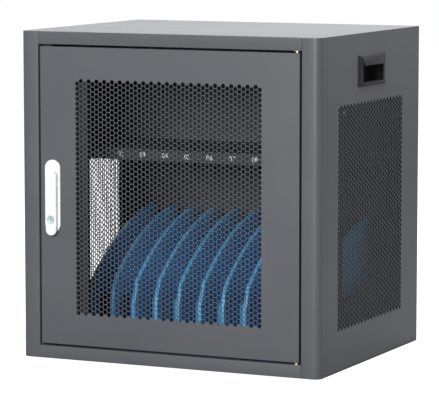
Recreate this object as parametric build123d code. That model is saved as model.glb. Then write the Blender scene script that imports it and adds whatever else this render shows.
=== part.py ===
"""Laptop charging cabinet: a steel cabinet with a perforated, lockable door and ten upright bays."""

from build123d import *
import math
import os

# Cabinet carcass, millimetres
WIDTH = 392.0
DEPTH = 312.0
HEIGHT = 396.0
SHEET = 1.2
CORNER_R = 9.0
STILE_WRAP = 20.0
STILE_FACE = 23.75
RAIL_FACE = 15.5
RETURN_DEPTH = 16.0
STOP_LIP = 11.0
ANGLE_LEG = 14.0

# Door
DOOR_GAP = 2.5
DOOR_DEPTH = 14.0
DOOR_FLANGE = 14.0
DOOR_EDGE_R = 0.9
STIFFENER_WIDTH = 14.0
STIFFENER_DEPTH = 9.0
STIFFENER_INSET = 7.5

# Perforation: hexagonal holes on a honeycomb lattice
DOOR_FIELD = (245.0, 286.0)
DOOR_PITCH = 28.0
SIDE_FIELD = (206.0, 269.0)
SIDE_FIELD_FRONT = 52.0
SIDE_FIELD_BOTTOM = 46.7
SIDE_PITCH = 38.0
WEB = 3.0

# Hinge pins and their bushes
PIN_R = 2.0
PIN_INSET = 4.75
PIN_DEPTH = 5.0
PIN_LENGTH = 16.0
BUSH_R = 3.4
BUSH_FLANGE_R = 4.2
BUSH_FLANGE = 0.9
RUNNING = 0.05
BRACKET_THICK = 2.5

# Swing handle, lock and cam
LOCK_INSET = 17.15
BASE_WIDTH = 20.5
BASE_HEIGHT = 88.0
BASE_THICK = 3.0
LEVER_WIDTH = 14.2
LEVER_RISE = 32.5
LEVER_DROP = 47.3
LEVER_THICK = 4.4
LEVER_CLEAR = 0.2
LEVER_SWING = 24.0
SPINDLE_R = 5.0
LUG_WIDTH = 4.8
LUG_R = 2.0
LUG_CLEAR = 0.25
SLOT_HALF = 4.0
LEVER_PIN_R = 1.0
LEVER_PIN_DEPTH = 5.0
LEVER_PIN_HALF = 6.0
BARREL_R = 5.2
BARREL_DROP = 28.0
BARREL_PROUD = 0.4
BARREL_FLOOR = 0.2
KEY_SLOT = (0.9, 5.6, 2.4)
NUT_R = 8.5
NUT_THICK = 3.0
CAM_LENGTH = 16.5
CAM_WIDTH = 12.0
CAM_THICK = 3.0
CAM_GAP = 1.5
CAM_SCREW_R = 4.0
CAM_SCREW_HEAD = 2.2
CAM_SCREW_LENGTH = 8.0
SPINDLE_FLAT = 3.8
HOLE_CLEAR = 0.3

# Inner cheeks, shelf and compartments
REAR_SPACE = 22.0
CHEEK_WINDOW_FRONT = 123.0
CHEEK_WINDOW_BACK = 246.0
CHEEK_WINDOW_BOTTOM = 78.0
CHEEK_WINDOW_GAP = 20.5
CHEEK_FLANGE = 12.0
SHELF_FRONT = 85.0
SHELF_DROP = 145.5
SHELF_LIP = 14.0
PANEL_BEHIND = 87.0

# Dividers and their base
BAYS = 10
BAY_MARGIN = 22.25
DIVIDER_THICK = 5.0
DIVIDER_FRONT = 88.0
DIVIDER_BEHIND = 18.0
DIVIDER_SHOULDER = 78.0
DIVIDER_PEAK = (17.0, 162.0)
DIVIDER_PEAK_R = 11.0
DIVIDER_KNEE_R = 30.0
DIVIDER_BULGE = 14.0
DIVIDER_EDGE = 1.6
TRAY_TOP = 12.0
TRAY_CLEAR = 7.25
TRAY_OVERHANG = (4.0, 6.0)
SLOT_DEPTH = 6.0
SLOT_CLEAR = 0.1
WINDOW_FRONT = (20.0, 56.0, 28.0, 64.0)
WINDOW_REAR = (111.0, 145.0, 28.0, 96.0)
WINDOW_CORNER = 6.0

# Electrics
SUPPLY_SIZE = (210.0, 70.0)
SUPPLY_SHIFT = 30.0
SUPPLY_GAP = (1.5, 5.1)
BOARD_THICK = 1.6
BOARD_HEIGHT = 24.0
BOARD_DROP = 38.5
BOARD_STANDOFF = 6.0
BOARD_STRIP = 3.0
PORT_SIZE = (16.0, 9.0, 8.0)
PORT_MOUTH = (9.0, 3.0, 6.0)
INLET_INSET = 76.0
INLET_DROP = 66.0
INLET_FLANGE = (50.0, 2.0, 30.0)
INLET_BODY = (27.0, 20.0, 20.0)
INLET_MOUTH = (24.0, 16.0, 17.0)
BLADE_SIZE = (2.0, 13.0, 4.5)
BLADE_PLACES = ((-7.0, -3.5), (0.0, 0.5), (7.0, -3.5))
SWITCH_SPACING = 50.0
SWITCH_FLANGE = (17.0, 2.0, 23.0)
SWITCH_BODY = (12.6, 20.0, 18.6)
ROCKER_WIDTH = 9.6
ROCKER_HEIGHT = 12.4
ROCKER_ROOM = 16.4
ROCKER_WAIST = 2.6
ROCKER_DISH = 1.2
ROCKER_PROUD = 2.2
ROCKER_CLEAR = 0.4
ROCKER_AXLE = 6.0
ROCKER_AXLE_R = 1.5

# Side carry handles
GRIP_LENGTH = 89.0
GRIP_HEIGHT = 38.0
GRIP_DROP = 26.0
GRIP_BEVEL = 7.6
GRIP_PROUD = 2.4
GRIP_POCKET = (65.0, 20.5)
GRIP_POCKET_RISE = 4.5
GRIP_CUP_DEPTH = 20.0
GRIP_WALL = 2.0
HOOD_PROUD = 5.5
HOOD_HEIGHT = 12.5
HOOD_LENGTH = 74.0
HOOD_TAPER = 7.6

# Screws and bumpers
SCREW_R = 1.75
SCREW_HEAD_R = 3.5
SCREW_HEAD = 2.0
CHEEK_SCREWS = (122.0, 262.0)
CHEEK_SCREW_DROP = 96.0
BACK_SCREW_INSET = 7.0
BUMPER_Z = 60.0
BUMPER_THICK = 0.6

# Derived places: the origin is the bottom centre of the whole object's box
REAR_REACH = DEPTH + INLET_FLANGE[1] + ROCKER_PROUD
FRONT_REACH = BASE_THICK + LEVER_CLEAR + LEVER_THICK + BARREL_PROUD
FRONT = (FRONT_REACH - REAR_REACH) / 2
LOCK_Z = HEIGHT / 2
OPENING_X = WIDTH / 2 - STILE_FACE
OPENING_LOW = RAIL_FACE
OPENING_HIGH = HEIGHT - RAIL_FACE
DOOR_X = OPENING_X - DOOR_GAP
DOOR_LOW = OPENING_LOW + DOOR_GAP
DOOR_HIGH = OPENING_HIGH - DOOR_GAP
HINGE_X = DOOR_X - PIN_INSET
LEVER_BACK = -(BASE_THICK + LEVER_CLEAR)
LEVER_FACE = LEVER_BACK - LEVER_THICK
CAM_FRONT = RETURN_DEPTH + CAM_GAP
GRIP_MIDDLE = DEPTH / 2
INNER_X = OPENING_X
LOCK_X = LOCK_INSET - DOOR_X
LEVER_TOP = LOCK_Z + LEVER_RISE
LEVER_BOTTOM = LOCK_Z - LEVER_DROP
BARREL_Z = LOCK_Z - BARREL_DROP
SPINDLE_Z = LEVER_TOP - LEVER_WIDTH / 2
CHEEK_DEPTH = DEPTH - REAR_SPACE
PANEL_DEPTH = DEPTH - PANEL_BEHIND
SHELF_TOP = HEIGHT - SHELF_DROP
SHELF_UNDER = SHELF_TOP - SHEET
CHEEK_WINDOW_TOP = SHELF_TOP - CHEEK_WINDOW_GAP
BAY_PITCH = 2 * (INNER_X - BAY_MARGIN) / BAYS
DIVIDER_BACK = CHEEK_DEPTH - DIVIDER_BEHIND
STIFFENER_X = STIFFENER_INSET - DOOR_FIELD[0] / 2
BOARD_Z = SHELF_TOP - BOARD_DROP
INLET_X = INLET_INSET - WIDTH / 2
INLET_Z = HEIGHT - INLET_DROP
SWITCH_X = INLET_X + SWITCH_SPACING
GRIP_TOP = HEIGHT - GRIP_DROP


def block(x0, x1, d0, d1, z0, z1):
    """Box between two corners; d is the distance behind the front face."""
    return Pos((x0 + x1) / 2, FRONT + (d0 + d1) / 2, (z0 + z1) / 2) * Box(x1 - x0, d1 - d0, z1 - z0)


def rod_y(x, z, d0, d1, r):
    """Round bar along the depth."""
    return Pos(x, FRONT + (d0 + d1) / 2, z) * Rot(90, 0, 0) * Cylinder(r, d1 - d0)


def rod_x(x0, x1, d, z, r):
    """Round bar across the width."""
    return Pos((x0 + x1) / 2, FRONT + d, z) * Rot(0, 90, 0) * Cylinder(r, x1 - x0)


def rod_z(x, d, z0, z1, r):
    """Upright round bar."""
    return Pos(x, FRONT + d, (z0 + z1) / 2) * Cylinder(r, z1 - z0)


def mirrored(shape):
    """The same piece on the other side of the cabinet."""
    return mirror(shape, about=Plane.YZ)


def save(name, *solids):
    """Write one node, whose separate solids stay separate."""
    shape = solids[0] if len(solids) == 1 else Compound(children=list(solids))
    export_step(shape, f"parts/{name}.step")


def lattice(width, height, pitch):
    """Centres of a honeycomb of holes that fills a field, columns upright and half a pitch apart."""
    step = pitch * math.sqrt(3) / 2
    columns = int((width - pitch) / step) + 1
    rows = int(height / pitch - 0.5)
    places = []
    for column in range(columns):
        shift = pitch / 2 if column % 2 else 0
        for row in range(rows):
            u = (column - (columns - 1) / 2) * step
            v = (row - (rows - 1) / 2) * pitch + shift - pitch / 4
            places.append((u, v))
    return places


def perforate(plate, plane, width, height, pitch):
    """Cut the honeycomb of hexagonal holes through a flat sheet."""
    hole_r = (pitch - WEB) / math.sqrt(3)
    cells = [Pos(u, v) * RegularPolygon(hole_r, 6) for u, v in lattice(width, height, pitch)]
    return plate - extrude(plane * (Sketch() + cells), SHEET, both=True)


def stile(stop_lip):
    """Right-hand front stile: return, face, rounded corner and wrap round the side, one folded sheet."""
    x0, x1 = OPENING_X, WIDTH / 2
    outer = Pos((x0 + x1) / 2, FRONT + STILE_WRAP / 2) * Rectangle(x1 - x0, STILE_WRAP)
    corner = outer.vertices().sort_by(Axis.X)[-2:].sort_by(Axis.Y)[:1]
    outer = fillet(corner, CORNER_R)
    deep = STILE_WRAP - SHEET
    inner = Pos((x0 + x1) / 2, FRONT + SHEET + deep / 2) * Rectangle(x1 - x0 - 2 * SHEET, deep)
    corner = inner.vertices().sort_by(Axis.X)[-2:].sort_by(Axis.Y)[:1]
    inner = fillet(corner, CORNER_R - SHEET)
    profile = outer - inner
    profile -= Pos(x0 + SHEET / 2, FRONT + (RETURN_DEPTH + STILE_WRAP) / 2) * Rectangle(
        SHEET, STILE_WRAP - RETURN_DEPTH)
    solid = extrude(Pos(0, 0, SHEET) * profile, HEIGHT - 2 * SHEET)
    if stop_lip:
        solid += block(x0 - STOP_LIP, x0 + SHEET, RETURN_DEPTH - SHEET, RETURN_DEPTH,
                       OPENING_LOW, OPENING_HIGH)
    return solid


def rail(low, inner_edge):
    """Front rail between the stiles, folded back round the opening; inner_edge is the opening's edge."""
    z0, z1 = (low, inner_edge) if low < inner_edge else (inner_edge, low)
    face = block(-OPENING_X, OPENING_X, 0, SHEET, z0, z1)
    fold = (inner_edge - SHEET, inner_edge) if low < inner_edge else (inner_edge, inner_edge + SHEET)
    solid = face + block(-OPENING_X, OPENING_X, SHEET, RETURN_DEPTH, *fold)
    return solid - rod_z(HINGE_X, PIN_DEPTH, fold[0] - 1, fold[1] + 1, BUSH_R)


def plan_corner(solid):
    """Round the two front corners of a horizontal sheet to the carcass radius."""
    edges = solid.edges().filter_by(Axis.Z).sort_by(Axis.Y)[:2]
    return fillet(edges, CORNER_R)


def side_panel():
    """Right side sheet with the perforated vent and the hole for the carry handle."""
    plate = block(WIDTH / 2 - SHEET, WIDTH / 2, STILE_WRAP, DEPTH - SHEET, SHEET, HEIGHT - SHEET)
    middle = FRONT + SIDE_FIELD_FRONT + SIDE_FIELD[0] / 2
    plane = Plane(origin=(WIDTH / 2 - SHEET / 2, middle, SIDE_FIELD_BOTTOM + SIDE_FIELD[1] / 2),
                  x_dir=(0, 1, 0), z_dir=(1, 0, 0))
    plate = perforate(plate, plane, *SIDE_FIELD, SIDE_PITCH)
    return plate - grip_cut()


def grip_cut():
    """Hole in the side sheet that the handle's cup passes through."""
    length, height = GRIP_POCKET
    low = GRIP_TOP - GRIP_HEIGHT + GRIP_POCKET_RISE
    return block(WIDTH / 2 - 2 * SHEET, WIDTH / 2 + 1, GRIP_MIDDLE - length / 2 - GRIP_WALL,
                 GRIP_MIDDLE + length / 2 + GRIP_WALL, low - GRIP_WALL,
                 low + height + HOOD_HEIGHT - GRIP_WALL)


def cheek():
    """Right inner cheek: an upright sheet beside the bays, with a window onto the side vent."""
    x0, x1 = INNER_X, INNER_X + SHEET
    low, high = SHEET, HEIGHT - SHEET
    sheet = block(x0, x1, RETURN_DEPTH, CHEEK_DEPTH, low, high)
    sheet -= block(x0 - 1, x1 + 1, CHEEK_WINDOW_FRONT, CHEEK_WINDOW_BACK,
                   CHEEK_WINDOW_BOTTOM, CHEEK_WINDOW_TOP)
    sheet += block(x0, x1 + CHEEK_FLANGE, STILE_WRAP, CHEEK_DEPTH, low, low + SHEET)
    sheet += block(x0, x1 + CHEEK_FLANGE, STILE_WRAP, CHEEK_DEPTH, high - SHEET, high)
    return sheet


def carry_handle():
    """Right carry handle: bevelled frame, hood over the fingers and a closed cup behind it."""
    side = WIDTH / 2
    low, high = GRIP_TOP - GRIP_HEIGHT, GRIP_TOP
    middle = FRONT + GRIP_MIDDLE
    foot = Plane(origin=(side, middle, (low + high) / 2), x_dir=(0, 1, 0), z_dir=(1, 0, 0))
    face = foot.offset(GRIP_PROUD)
    frame = loft([foot * Rectangle(GRIP_LENGTH, GRIP_HEIGHT),
                  face * Rectangle(GRIP_LENGTH - 2 * GRIP_BEVEL, GRIP_HEIGHT - 2 * GRIP_WALL)], ruled=True)
    hood_top = high - GRIP_WALL
    hood = make_hood(side, middle, hood_top)
    length, height = GRIP_POCKET
    pocket_low = low + GRIP_POCKET_RISE
    pocket_high = pocket_low + height + HOOD_HEIGHT - 2 * GRIP_WALL
    d0, d1 = GRIP_MIDDLE - length / 2, GRIP_MIDDLE + length / 2
    cup = block(side - GRIP_CUP_DEPTH, side, d0 - GRIP_WALL, d1 + GRIP_WALL,
                pocket_low - GRIP_WALL, pocket_high + GRIP_WALL)
    cup = cup + frame + hood
    cup -= block(side - GRIP_CUP_DEPTH + GRIP_WALL, side, d0, d1, pocket_low, pocket_high)
    cup -= block(side - GRIP_CUP_DEPTH + GRIP_WALL, side + HOOD_PROUD + 1, d0, d1,
                 pocket_low, pocket_low + height)
    return cup


def make_hood(side, middle, top):
    """Hood of the carry handle: it slopes out and its ends draw in towards the lower edge."""
    low = top - HOOD_HEIGHT
    upper = Plane(origin=(side, middle, top), x_dir=(0, 1, 0), z_dir=(0, 0, -1))
    lower = Plane(origin=(side, middle, low), x_dir=(0, 1, 0), z_dir=(0, 0, -1))
    return loft([upper * Pos(0, GRIP_PROUD / 2) * Rectangle(HOOD_LENGTH, GRIP_PROUD),
                 lower * Pos(0, HOOD_PROUD / 2) * Rectangle(HOOD_LENGTH - 2 * HOOD_TAPER, HOOD_PROUD)],
                ruled=True)


def divider_profile():
    """Side outline of a divider: upright front, a long rising curve, a round peak and a straight back."""
    front, back = FRONT + DIVIDER_FRONT, FRONT + DIVIDER_BACK
    crest = (back - DIVIDER_PEAK[0], DIVIDER_PEAK[1])
    floor = TRAY_TOP - SLOT_DEPTH
    shoulder = (front, DIVIDER_SHOULDER)
    middle = ((shoulder[0] + crest[0]) / 2, (shoulder[1] + crest[1]) / 2)
    run = math.dist(shoulder, crest)
    bulge = ((shoulder[1] - crest[1]) / run * DIVIDER_BULGE, (crest[0] - shoulder[0]) / run * DIVIDER_BULGE)
    rise = ThreePointArc(shoulder, (middle[0] + bulge[0], middle[1] + bulge[1]), crest)
    heel = (back, crest[1])
    rest = Polyline(crest, heel, (back, floor), (front, floor), shoulder)
    outline = make_face([rise, *rest.edges()])
    corners = outline.vertices().sort_by(Axis.Y)[-2:].sort_by(Axis.X)
    outline = fillet(corners[-1:], DIVIDER_PEAK_R)
    knee = outline.vertices().filter_by(lambda v: math.dist((v.X, v.Y), shoulder) < 0.01)
    return fillet(knee, DIVIDER_KNEE_R)


def divider(x):
    """One bay divider: a moulded blade with a bevelled rim and two windows."""
    plane = Plane(origin=(x - DIVIDER_THICK / 2, 0, 0), x_dir=(0, 1, 0), z_dir=(1, 0, 0))
    front = FRONT + DIVIDER_FRONT
    d0, d1, z0, z1 = WINDOW_FRONT
    front_window = Pos(front + (d0 + d1) / 2, (z0 + z1) / 2) * Rectangle(d1 - d0, z1 - z0)
    front_window = chamfer(front_window.vertices(), WINDOW_CORNER)
    d0, d1, z0, z1 = WINDOW_REAR
    triangle = Polyline((front + d0, z0), (front + d1, z0), (front + (d0 + d1) / 2, z1), (front + d0, z0))
    rear_window = make_face(triangle.edges())
    blade = extrude(plane * divider_profile(), DIVIDER_THICK)
    knee = front + DIVIDER_KNEE_R * 1.2
    rims = [edge for edge in blade.edges() if edge.length > 1.2 * DIVIDER_THICK
            and (edge.center().Y < knee or edge.center().Z > DIVIDER_SHOULDER)
            and edge.center().Y < FRONT + DIVIDER_BACK - 1 and abs(edge.tangent_at(0.5).X) < 0.5]
    blade = chamfer(rims, DIVIDER_EDGE)
    return blade - extrude(plane * (front_window + rear_window), DIVIDER_THICK)


def divider_base():
    """Low tray under the bays with one slot for each divider."""
    half_width = INNER_X - TRAY_CLEAR
    d0, d1 = DIVIDER_FRONT - TRAY_OVERHANG[0], DIVIDER_BACK + TRAY_OVERHANG[1]
    tray = block(-half_width, half_width, d0, d1, SHEET, TRAY_TOP)
    for x in divider_places():
        half = DIVIDER_THICK / 2 + SLOT_CLEAR
        tray -= block(x - half, x + half, DIVIDER_FRONT - SLOT_CLEAR, DIVIDER_BACK + SLOT_CLEAR,
                      TRAY_TOP - SLOT_DEPTH, TRAY_TOP + 1)
    return tray


def divider_places():
    """Middle of each divider across the cabinet."""
    return [(k - BAYS / 2) * BAY_PITCH for k in range(BAYS + 1)]


def shelf():
    """Shelf over the bays with a folded lip that carries the bay numbers."""
    plate = block(-INNER_X, INNER_X, SHELF_FRONT, CHEEK_DEPTH - SHEET, SHELF_UNDER, SHELF_TOP)
    lip = block(-INNER_X, INNER_X, SHELF_FRONT, SHELF_FRONT + SHEET, SHELF_TOP - SHELF_LIP, SHELF_UNDER)
    return plate + lip


def supply():
    """Power supply: a plain closed case that stands on the shelf behind the compartment panel."""
    width, height = SUPPLY_SIZE
    d0 = PANEL_DEPTH + SHEET + SUPPLY_GAP[0]
    d1 = CHEEK_DEPTH - SHEET - SUPPLY_GAP[1]
    return block(SUPPLY_SHIFT - width / 2, SUPPLY_SHIFT + width / 2, d0, d1, SHELF_TOP, SHELF_TOP + height)


def charging_board():
    """Board that carries the ten charging ports on the rear partition, on two standoff strips."""
    half, low, high = INNER_X - BAY_MARGIN, BOARD_Z - BOARD_HEIGHT / 2, BOARD_Z + BOARD_HEIGHT / 2
    back = CHEEK_DEPTH - SHEET
    front = back - BOARD_STANDOFF - BOARD_THICK
    board = block(-half, half, front, front + BOARD_THICK, low, high)
    for z in (low, high - BOARD_STRIP):
        board += block(-half, half, front + BOARD_THICK, back, z, z + BOARD_STRIP)
    return board


def port(x):
    """One charging socket: a shell with an oblong mouth, its ends cut to a point."""
    width, depth, height = PORT_SIZE
    front = CHEEK_DEPTH - SHEET - BOARD_STANDOFF - BOARD_THICK - depth
    shell = block(x - width / 2, x + width / 2, front, front + depth,
                  BOARD_Z - height / 2, BOARD_Z + height / 2)
    mouth_width, mouth_height, mouth_depth = PORT_MOUTH
    plane = Plane(origin=(x, FRONT + front + mouth_depth, BOARD_Z), x_dir=(1, 0, 0), z_dir=(0, -1, 0))
    mouth = chamfer(Rectangle(mouth_width, mouth_height).vertices(), mouth_height * 0.4)
    return shell - extrude(plane * mouth, mouth_depth)


def back_panel():
    """Rear sheet with the openings for the mains inlet and the switch."""
    sheet = block(-WIDTH / 2, WIDTH / 2, DEPTH - SHEET, DEPTH, SHEET, HEIGHT - SHEET)
    for x, size in ((INLET_X, INLET_BODY), (SWITCH_X, SWITCH_BODY)):
        sheet -= block(x - size[0] / 2, x + size[0] / 2, DEPTH - 2 * SHEET, DEPTH + 1,
                       INLET_Z - size[2] / 2, INLET_Z + size[2] / 2)
    return sheet


def inlet():
    """Mains inlet: flange, body and shrouded socket."""
    flange_width, flange, flange_height = INLET_FLANGE
    width, depth, height = INLET_BODY
    solid = block(INLET_X - flange_width / 2, INLET_X + flange_width / 2, DEPTH, DEPTH + flange,
                  INLET_Z - flange_height / 2, INLET_Z + flange_height / 2)
    solid += block(INLET_X - width / 2, INLET_X + width / 2, DEPTH - depth, DEPTH,
                   INLET_Z - height / 2, INLET_Z + height / 2)
    mouth_width, mouth_depth, mouth_height = INLET_MOUTH
    solid -= block(INLET_X - mouth_width / 2, INLET_X + mouth_width / 2, DEPTH + flange - mouth_depth,
                   DEPTH + flange + 1, INLET_Z - mouth_height / 2, INLET_Z + mouth_height / 2)
    return solid


def inlet_blades():
    """The three contact blades of the inlet."""
    thick, length, height = BLADE_SIZE
    root = DEPTH + INLET_FLANGE[1] - INLET_MOUTH[1]
    return [block(INLET_X + x - thick / 2, INLET_X + x + thick / 2, root, root + length,
                  INLET_Z + z - height / 2, INLET_Z + z + height / 2) for x, z in BLADE_PLACES]


def switch_housing():
    """Housing of the mains switch, open at the back for the rocker, with a hole for its axle."""
    flange_width, flange, flange_height = SWITCH_FLANGE
    width, depth, height = SWITCH_BODY
    solid = block(SWITCH_X - flange_width / 2, SWITCH_X + flange_width / 2, DEPTH, DEPTH + flange,
                  INLET_Z - flange_height / 2, INLET_Z + flange_height / 2)
    solid += block(SWITCH_X - width / 2, SWITCH_X + width / 2, DEPTH - depth, DEPTH,
                   INLET_Z - height / 2, INLET_Z + height / 2)
    room = ROCKER_WIDTH + 2 * ROCKER_CLEAR
    solid -= block(SWITCH_X - room / 2, SWITCH_X + room / 2, DEPTH - depth + 2, DEPTH + flange + 1,
                   INLET_Z - ROCKER_ROOM / 2, INLET_Z + ROCKER_ROOM / 2)
    return solid - rod_x(SWITCH_X - width / 2, SWITCH_X + width / 2, DEPTH - ROCKER_AXLE, INLET_Z,
                         ROCKER_AXLE_R + RUNNING)


def rocker():
    """Rocker of the mains switch, dished on its face, on its axle."""
    plane = Plane(origin=(SWITCH_X - ROCKER_WIDTH / 2, FRONT + DEPTH - ROCKER_AXLE, INLET_Z),
                  x_dir=(0, 1, 0), z_dir=(1, 0, 0))
    face = ROCKER_AXLE + INLET_FLANGE[1] + ROCKER_PROUD
    half = ROCKER_HEIGHT / 2
    sides = Polyline((face, half), (0, ROCKER_WAIST), (0, -ROCKER_WAIST), (face, -half))
    dish = ThreePointArc((face, -half), (face - ROCKER_DISH, 0), (face, half))
    outline = make_face([*sides.edges(), dish])
    body = extrude(plane * outline, ROCKER_WIDTH)
    axle = rod_x(SWITCH_X - SWITCH_BODY[0] / 2 + 0.5, SWITCH_X + SWITCH_BODY[0] / 2 - 0.5,
                 DEPTH - ROCKER_AXLE, INLET_Z, ROCKER_AXLE_R)
    return body + axle


def door_skin():
    """Perforated door sheet with the hole for the handle's spindle."""
    skin = block(-DOOR_X, DOOR_X, 0, SHEET, DOOR_LOW, DOOR_HIGH)
    skin = fillet(skin.edges().filter_by(Axis.Z).sort_by(Axis.Y)[:2], DOOR_EDGE_R)
    middle = (0, FRONT + SHEET / 2, (DOOR_LOW + DOOR_HIGH) / 2)
    plane = Plane(origin=middle, x_dir=(1, 0, 0), z_dir=(0, -1, 0))
    skin = perforate(skin, plane, *DOOR_FIELD, DOOR_PITCH)
    return skin - rod_y(LOCK_X, SPINDLE_Z, -1, 2 * SHEET, SPINDLE_R + HOLE_CLEAR)


def channel_bar(x0, x1, z0, z1, web):
    """Folded channel behind the door sheet; web names its closed side."""
    bar = block(x0, x1, SHEET, DOOR_DEPTH, z0, z1)
    hollow = {"left": (x0 + SHEET, x1 + 1, z0 - 1, z1 + 1), "right": (x0 - 1, x1 - SHEET, z0 - 1, z1 + 1),
              "low": (x0 - 1, x1 + 1, z0 + SHEET, z1 + 1), "high": (x0 - 1, x1 + 1, z0 - 1, z1 - SHEET)}[web]
    return bar - block(hollow[0], hollow[1], 2 * SHEET, DOOR_DEPTH - SHEET, hollow[2], hollow[3])


def door_frame():
    """Four folded channels welded behind the edges of the door sheet, clear of the lock's spindle."""
    inner_x = DOOR_X - DOOR_FLANGE
    inner_low, inner_high = DOOR_LOW + DOOR_FLANGE, DOOR_HIGH - DOOR_FLANGE
    lock_side = -DOOR_X + DOOR_FLANGE / 2
    return [channel_bar(-DOOR_X, lock_side, DOOR_LOW, DOOR_HIGH, "left"),
            channel_bar(inner_x, DOOR_X, DOOR_LOW, DOOR_HIGH, "right"),
            channel_bar(lock_side, inner_x, DOOR_LOW, inner_low, "low"),
            channel_bar(lock_side, inner_x, inner_high, DOOR_HIGH, "high")]


def stiffener():
    """Upright hat-shaped stiffener behind the first columns of holes."""
    low, high = DOOR_LOW + DOOR_FLANGE, DOOR_HIGH - DOOR_FLANGE
    x0, x1 = STIFFENER_X - STIFFENER_WIDTH / 2, STIFFENER_X + STIFFENER_WIDTH / 2
    hat = block(x0, x1, SHEET, SHEET + STIFFENER_DEPTH, low, high)
    return hat - block(x0 + SHEET, x1 - SHEET, SHEET, STIFFENER_DEPTH, low - 1, high + 1)


def hinge_brackets():
    """Blocks inside the ends of the hinge-side channel that hold the pins."""
    x0, x1 = DOOR_X - DOOR_FLANGE + SHEET, DOOR_X - SHEET
    ends = ((DOOR_LOW, DOOR_LOW + BRACKET_THICK), (DOOR_HIGH - BRACKET_THICK, DOOR_HIGH))
    return [block(x0, x1, 2 * SHEET, DOOR_DEPTH - SHEET, z0, z1)
            - rod_z(HINGE_X, PIN_DEPTH, z0 - 1, z1 + 1, PIN_R) for z0, z1 in ends]


def hinge_pins():
    """Upright pins that stand out of the door's ends into the bushes."""
    reach = DOOR_GAP + SHEET + 2
    return [rod_z(HINGE_X, PIN_DEPTH, DOOR_LOW - reach, DOOR_LOW - reach + PIN_LENGTH, PIN_R),
            rod_z(HINGE_X, PIN_DEPTH, DOOR_HIGH + reach - PIN_LENGTH, DOOR_HIGH + reach, PIN_R)]


def hinge_bush(sheet_low, flange_low):
    """Flanged bush in the fold of a front rail."""
    bush = rod_z(HINGE_X, PIN_DEPTH, sheet_low, sheet_low + SHEET, BUSH_R)
    bush += rod_z(HINGE_X, PIN_DEPTH, flange_low, flange_low + BUSH_FLANGE, BUSH_FLANGE_R)
    return bush - rod_z(HINGE_X, PIN_DEPTH, sheet_low - 2, sheet_low + 4, PIN_R + RUNNING)


def pill(width, low, high, d0, d1):
    """Upright plate with round ends at the lock's place across the door."""
    plane = Plane(origin=(LOCK_X, FRONT + d1, (low + high) / 2), x_dir=(1, 0, 0), z_dir=(0, -1, 0))
    return extrude(plane * Rot(0, 0, 90) * SlotOverall(high - low, width), d1 - d0)


def handle_base():
    """Escutcheon on the door: a thin plate with bevelled front edges and the spindle's bearing hole."""
    low, high = LOCK_Z - BASE_HEIGHT / 2, LOCK_Z + BASE_HEIGHT / 2
    plate = pill(BASE_WIDTH, low, high, -BASE_THICK, 0)
    plate = chamfer(plate.faces().sort_by(Axis.Y)[0].edges(), BASE_THICK / 2)
    return plate - rod_y(LOCK_X, SPINDLE_Z, -BASE_THICK - 1, 1, SPINDLE_R + RUNNING)


def lever():
    """Handle lever: rounded bar, slotted for the spindle's lug and relieved behind its pivot."""
    bar = pill(LEVER_WIDTH, LEVER_BOTTOM, LEVER_TOP, LEVER_FACE, LEVER_BACK)
    bar = chamfer(bar.faces().sort_by(Axis.Y)[0].edges(), LEVER_THICK / 3)
    half = LUG_WIDTH / 2 + LUG_CLEAR
    bar -= block(LOCK_X - half, LOCK_X + half, -LEVER_PIN_DEPTH - LUG_R - RUNNING, LEVER_BACK + 1,
                 SPINDLE_Z - SLOT_HALF, SPINDLE_Z + SLOT_HALF)
    pivot = Pos(LOCK_X, FRONT + LEVER_BACK, SPINDLE_Z)
    relief = Rot(LEVER_SWING + 2, 0, 0) * Pos(0, LEVER_WIDTH / 2, LEVER_WIDTH / 2) * Box(
        LEVER_WIDTH + 2, LEVER_WIDTH, LEVER_WIDTH)
    bar -= pivot * relief
    bar -= rod_x(LOCK_X - LEVER_WIDTH, LOCK_X + LEVER_WIDTH, -LEVER_PIN_DEPTH, SPINDLE_Z, LEVER_PIN_R)
    return bar - rod_y(LOCK_X, BARREL_Z, LEVER_FACE - 1, LEVER_BACK + 1, BARREL_R + RUNNING)


def lock_barrel():
    """Key barrel in the lever, with its key slot."""
    barrel = rod_y(LOCK_X, BARREL_Z, LEVER_FACE - BARREL_PROUD, LEVER_BACK - BARREL_FLOOR, BARREL_R)
    width, height, depth = KEY_SLOT
    front = LEVER_FACE - BARREL_PROUD
    return barrel - block(LOCK_X - width / 2, LOCK_X + width / 2, front - 1, front + depth,
                          BARREL_Z - height / 2, BARREL_Z + height / 2)


def spindle():
    """Spindle: lug for the lever's pin, round shaft through the door and a flatted end for the cam."""
    shaft = rod_y(LOCK_X, SPINDLE_Z, -BASE_THICK, CAM_FRONT, SPINDLE_R)
    end = rod_y(LOCK_X, SPINDLE_Z, CAM_FRONT, CAM_FRONT + CAM_THICK, SPINDLE_R)
    end = end & block(LOCK_X - SPINDLE_R, LOCK_X + SPINDLE_R, CAM_FRONT, CAM_FRONT + CAM_THICK,
                      SPINDLE_Z - SPINDLE_FLAT, SPINDLE_Z + SPINDLE_FLAT)
    half = LUG_WIDTH / 2
    lug = block(LOCK_X - half, LOCK_X + half, -LEVER_PIN_DEPTH, -BASE_THICK,
                SPINDLE_Z - LUG_R, SPINDLE_Z + LUG_R)
    lug += rod_x(LOCK_X - half, LOCK_X + half, -LEVER_PIN_DEPTH, SPINDLE_Z, LUG_R)
    lug -= rod_x(LOCK_X - half, LOCK_X + half, -LEVER_PIN_DEPTH, SPINDLE_Z, LEVER_PIN_R + RUNNING)
    back = CAM_FRONT + CAM_THICK
    return shaft + end + lug - rod_y(LOCK_X, SPINDLE_Z, back - CAM_SCREW_LENGTH, back, SCREW_R)


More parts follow.
